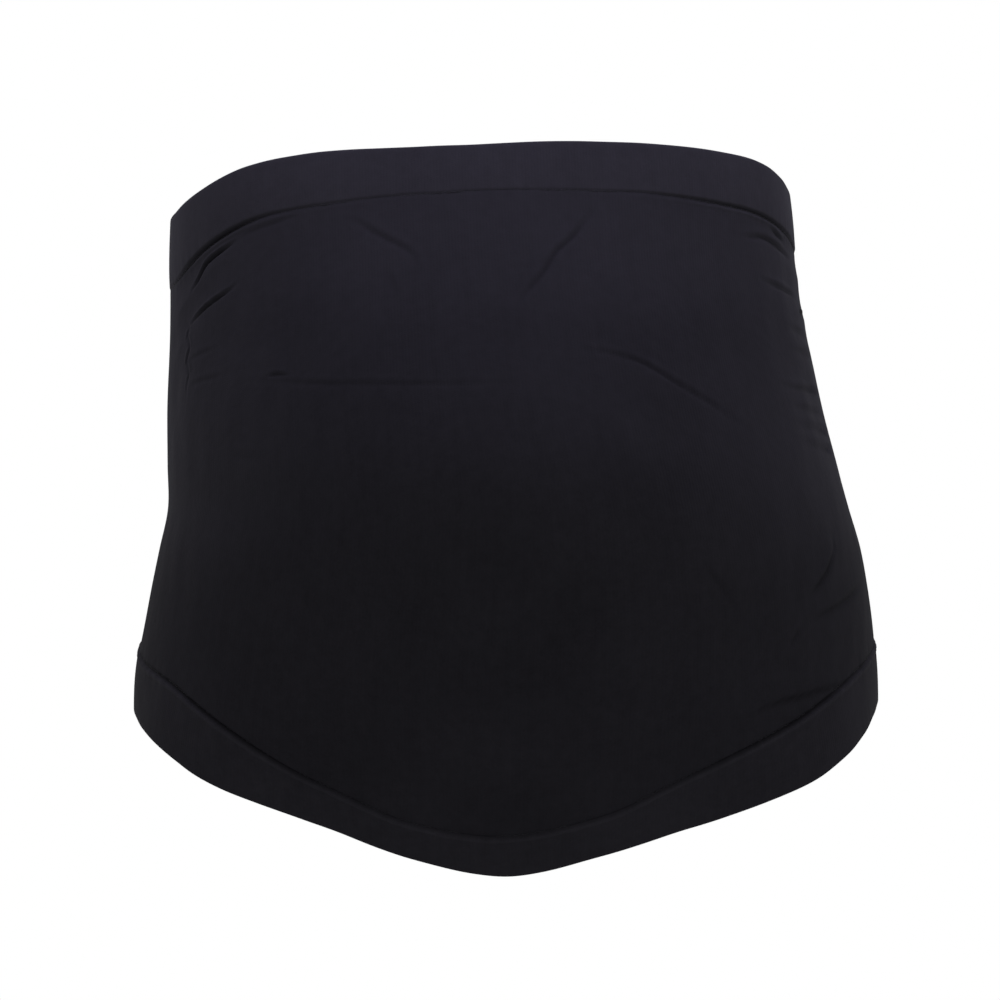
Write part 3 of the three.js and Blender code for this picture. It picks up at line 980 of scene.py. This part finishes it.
def stitch_tree():
    """Geometry Nodes that lay slanting stitches of thread along a line."""
    tree = bpy.data.node_groups.new("seam_stitches", "GeometryNodeTree")
    face = tree.interface
    face.new_socket("Seam line", in_out="INPUT", socket_type="NodeSocketGeometry")
    for name in ("Stitch pitch", "Stitch length", "Thread width", "Slant"):
        face.new_socket(name, in_out="INPUT", socket_type="NodeSocketFloat")
    face.new_socket("Seed", in_out="INPUT", socket_type="NodeSocketInt")
    face.new_socket("Thread", in_out="INPUT", socket_type="NodeSocketMaterial")
    face.new_socket("Stitches", in_out="OUTPUT", socket_type="NodeSocketGeometry")
    chain = NodeChain(tree)
    given = chain.add("NodeGroupInput").outputs
    line = chain.add("GeometryNodeMeshToCurve", {"Mesh": given["Seam line"]}).outputs[0]
    pitch = given["Stitch pitch"]
    spaced = chain.add("GeometryNodeResampleCurve", {"Curve": line, "Length": pitch}, mode="LENGTH")
    along = chain.add("GeometryNodeInputTangent").outputs[0]
    outwards = chain.add("GeometryNodeInputNamedAttribute", {"Name": "outwards"}, data_type="FLOAT_VECTOR")
    across = chain.vector("CROSS_PRODUCT", outwards.outputs[0], along)
    odd = chain.math("MODULO", chain.add("GeometryNodeInputIndex").outputs[0], 2.0)
    side = chain.math("SUBTRACT", chain.math("MULTIPLY", odd, 2.0), 1.0)
    spread = {"Min": SLANT_SPREAD[0], "Max": SLANT_SPREAD[1], "Seed": given["Seed"]}
    loose = chain.add("FunctionNodeRandomValue", spread, data_type="FLOAT")
    slant = chain.math("MULTIPLY", given["Slant"], chain.math("MULTIPLY", side, loose.outputs["Value"]))
    lean = chain.add("ShaderNodeVectorMath", {0: across, "Scale": slant}, operation="SCALE").outputs[0]
    direction = chain.vector("ADD", along, lean)
    turned = chain.add("FunctionNodeAlignRotationToVector", {"Vector": direction}, axis="X").outputs[0]
    bead = chain.add("GeometryNodeMeshUVSphere", {"Segments": 8, "Rings": 6, "Radius": 0.5}).outputs[0]
    width = given["Thread width"]
    scale = chain.add("ShaderNodeCombineXYZ", {0: given["Stitch length"], 1: width, 2: width}).outputs[0]
    laid = chain.add(
        "GeometryNodeInstanceOnPoints",
        {"Points": spaced.outputs[0], "Instance": bead, "Rotation": turned, "Scale": scale},
    )
    real = chain.add("GeometryNodeRealizeInstances", {"Geometry": laid.outputs[0]})
    smooth = chain.add("GeometryNodeSetShadeSmooth", {0: real.outputs[0]})
    coated = {"Geometry": smooth.outputs[0], "Material": given["Thread"]}
    dyed = chain.add("GeometryNodeSetMaterial", coated)
    chain.add("NodeGroupOutput", {"Stitches": dyed.outputs[0]})
    return tree


def grown_mesh(line, tree, values):
    """The plain mesh that a Geometry Nodes tree makes on an object, which is then removed."""
    modifier = line.modifiers.new("grown", "NODES")
    modifier.node_group = tree
    sockets = {item.name: item.identifier for item in tree.interface.items_tree if item.in_out == "INPUT"}
    for name, value in values.items():
        modifier[sockets[name]] = value
    evaluated = line.evaluated_get(bpy.context.evaluated_depsgraph_get())
    mesh = bpy.data.meshes.new_from_object(evaluated)
    bpy.data.objects.remove(line)
    return mesh


class BELT_OT_wall(bpy.types.Operator):
    """Knit the belt's wall over the belly, waist and hips"""

    bl_idname = "belt.wall"
    bl_label = "Belly tube"

    def execute(self, context):
        sizes = context.scene.belt_sizes
        colours = context.scene.belt_colours
        material = knit_material("ribbed_knit", colours.wall, colours.sheen)
        add_piece("belly_tube_cloth", wall_mesh(sizes), material, ["belly_tube"])
        return {"FINISHED"}


class BELT_OT_hems(bpy.types.Operator):
    """Turn and fold the hems at the upper and lower edges"""

    bl_idname = "belt.hems"
    bl_label = "Hems"

    def execute(self, context):
        sizes = context.scene.belt_sizes
        colours = context.scene.belt_colours
        material = knit_material("doubled_knit", colours.hem, colours.sheen)
        for edge in ("upper", "lower"):
            add_piece(f"{edge}_hem_cloth", hem_mesh(sizes, edge), material, [f"{edge}_hem"])
        return {"FINISHED"}


class BELT_OT_stitches(bpy.types.Operator):
    """Sew the hems to the wall"""

    bl_idname = "belt.stitches"
    bl_label = "Seam stitches"

    def execute(self, context):
        sizes = context.scene.belt_sizes
        thread = thread_material(context.scene.belt_colours)
        line = add_object("seam_lines", seam_line_mesh(sizes))
        values = {
            "Stitch pitch": sizes.stitch_pitch,
            "Stitch length": sizes.stitch_pitch * STITCH_OVERLAP,
            "Thread width": sizes.thread_width,
            "Slant": STITCH_SLANT,
            "Seed": STITCH_SEED,
            "Thread": thread,
        }
        mesh = grown_mesh(line, stitch_tree(), values)
        mesh.materials.clear()
        stitches = add_piece("seam_stitches", mesh, thread, [])
        return {"FINISHED"}


def area_light(name, place, size, power, colour):
    """A soft light that is aimed at the belt and isn't seen itself."""
    data = bpy.data.lights.new(name, "AREA")
    data.shape = "RECTANGLE"
    data.size, data.size_y = size
    data.energy = power
    data.color = colour
    light = add_object(name, data)
    light.visible_camera = False
    aim = np.array(LIGHT_TARGET) - np.array(place)
    light.location = place
    tilt = math.acos(-aim[2] / np.linalg.norm(aim))
    light.rotation_euler = (tilt, 0, math.atan2(aim[1], aim[0]) - math.pi / 2)


def make_floor(studio):
    """A round pale floor. Only the camera sees its glow, so it lights the belt no more than paint does."""
    radius = studio.floor_radius
    turns = [2 * math.pi * i / FLOOR_SIDES for i in range(FLOOR_SIDES)]
    rim = [(radius * math.cos(turn), radius * math.sin(turn), -studio.floor_drop) for turn in turns]
    mesh = bpy.data.meshes.new("studio_floor")
    mesh.from_pydata(rim, [], [tuple(range(FLOOR_SIDES))])
    material, chain = blank_material("pale_floor")
    paint = chain.add("ShaderNodeBsdfPrincipled", {"Base Color": FLOOR_PAINT, "Roughness": 0.9})
    seen = chain.add("ShaderNodeLightPath").outputs["Is Camera Ray"]
    glow_strength = chain.math("MULTIPLY", seen, studio.floor_glow)
    glow = chain.add("ShaderNodeEmission", {"Color": WHITE, "Strength": glow_strength})
    lit = chain.add("ShaderNodeAddShader", {0: paint.outputs[0], 1: glow.outputs[0]})
    chain.add("ShaderNodeOutputMaterial", {"Surface": lit.outputs[0]})
    mesh.materials.append(material)
    floor = add_object("studio_floor", mesh)


def make_world(studio):
    """A white room: seen plain white, and lighting the belt more gently than that."""
    world = bpy.data.worlds.new("white_room")
    bpy.context.scene.world = world
    world.use_nodes = True
    chain = NodeChain(world.node_tree)
    soft = chain.add("ShaderNodeBackground", {"Color": WHITE, "Strength": studio.sky_light})
    white = chain.add("ShaderNodeBackground", {"Color": WHITE, "Strength": 1.0})
    seen = chain.add("ShaderNodeLightPath").outputs["Is Camera Ray"]
    mixed = chain.add("ShaderNodeMixShader", {0: seen, 1: soft.outputs[0], 2: white.outputs[0]})
    chain.add("ShaderNodeOutputWorld", {"Surface": mixed.outputs[0]})


def make_camera(studio):
    data = bpy.data.cameras.new("front_camera")
    data.sensor_width = SENSOR_WIDTH
    data.lens = data.sensor_width * studio.camera_distance / studio.view_width
    data.clip_end = 100.0
    camera = add_object("front_camera", data)
    camera.location = (0, -studio.camera_distance, studio.camera_height)
    camera.rotation_euler = (math.pi / 2, 0, 0)
    bpy.context.scene.camera = camera


class BELT_OT_studio(bpy.types.Operator):
    """Set up the camera, floor and soft light"""

    bl_idname = "belt.studio"
    bl_label = "Studio"

    def execute(self, context):
        studio = context.scene.belt_studio
        make_camera(studio)
        make_floor(studio)
        make_world(studio)
        for light in LIGHTS:
            area_light(*light)
        context.scene.view_settings.view_transform = "Standard"
        return {"FINISHED"}


class BELT_PT_panel(bpy.types.Panel):
    """Lists the belt's operators and sizes"""

    bl_idname = "BELT_PT_panel"
    bl_label = "Support Belt"
    bl_space_type = "VIEW_3D"
    bl_region_type = "UI"
    bl_category = "Support Belt"

    def draw(self, context):
        for operator in OPERATORS:
            self.layout.operator(operator.bl_idname)
        for group in (context.scene.belt_sizes, context.scene.belt_colours, context.scene.belt_studio):
            box = self.layout.box()
            for name in group.bl_rna.properties.keys():
                if name not in ("rna_type", "name"):
                    box.prop(group, name)


GROUPS = {"belt_sizes": BeltSizes, "belt_colours": BeltColours, "belt_studio": StudioSizes}
OPERATORS = (BELT_OT_studio, BELT_OT_wall, BELT_OT_hems, BELT_OT_stitches)
CLASSES = (*GROUPS.values(), *OPERATORS, BELT_PT_panel)


def register():
    for each in CLASSES:
        bpy.utils.register_class(each)
    for name, group in GROUPS.items():
        setattr(bpy.types.Scene, name, PointerProperty(type=group))


def unregister():
    for name in GROUPS:
        delattr(bpy.types.Scene, name)
    for each in reversed(CLASSES):
        bpy.utils.unregister_class(each)


def main():
    register()
    bpy.ops.belt.studio()
    bpy.ops.belt.wall()
    bpy.ops.belt.hems()
    bpy.ops.belt.stitches()


if __name__ == "__main__":
    main()
